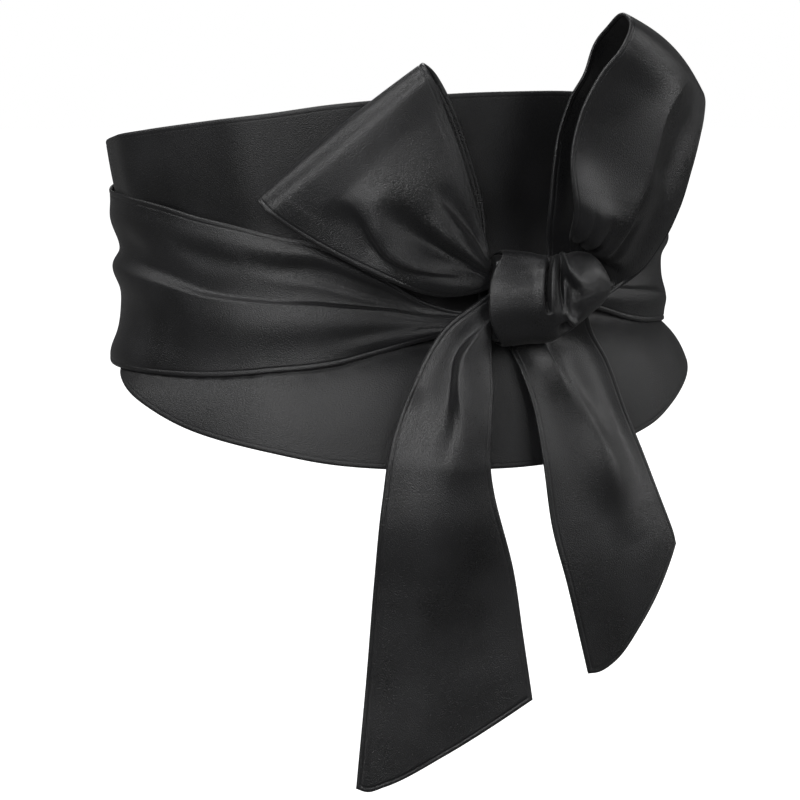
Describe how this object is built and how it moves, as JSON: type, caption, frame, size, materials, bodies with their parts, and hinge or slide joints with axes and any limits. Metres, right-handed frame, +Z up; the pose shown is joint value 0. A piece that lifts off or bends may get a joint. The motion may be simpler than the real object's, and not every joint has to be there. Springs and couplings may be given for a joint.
{
  "type": "satin waist sash",
  "caption": "Wide shaped waist sash in its worn form, with ties crossed at the back and knotted in a bow at the front.",
  "frame": {"origin": "centre of the waist at the height of the knot", "axes": "+Z up along the wearer's spine, -Y to the wearer's front, +X to the right of someone facing the sash"},
  "size_m": [0.268, 0.25, 0.3205],
  "materials": {
    "satin_black": "black satin with a soft broad sheen"
  },
  "bodies": {
    "root": {"waist_panel": "satin_black", "wrap_left": "satin_black", "wrap_right": "satin_black", "loop_left": "satin_black", "loop_right": "satin_black", "tail_left": "satin_black", "tail_right": "satin_black", "knot_band": "satin_black", "knot_core": "satin_black"}
  },
  "joints": []
}
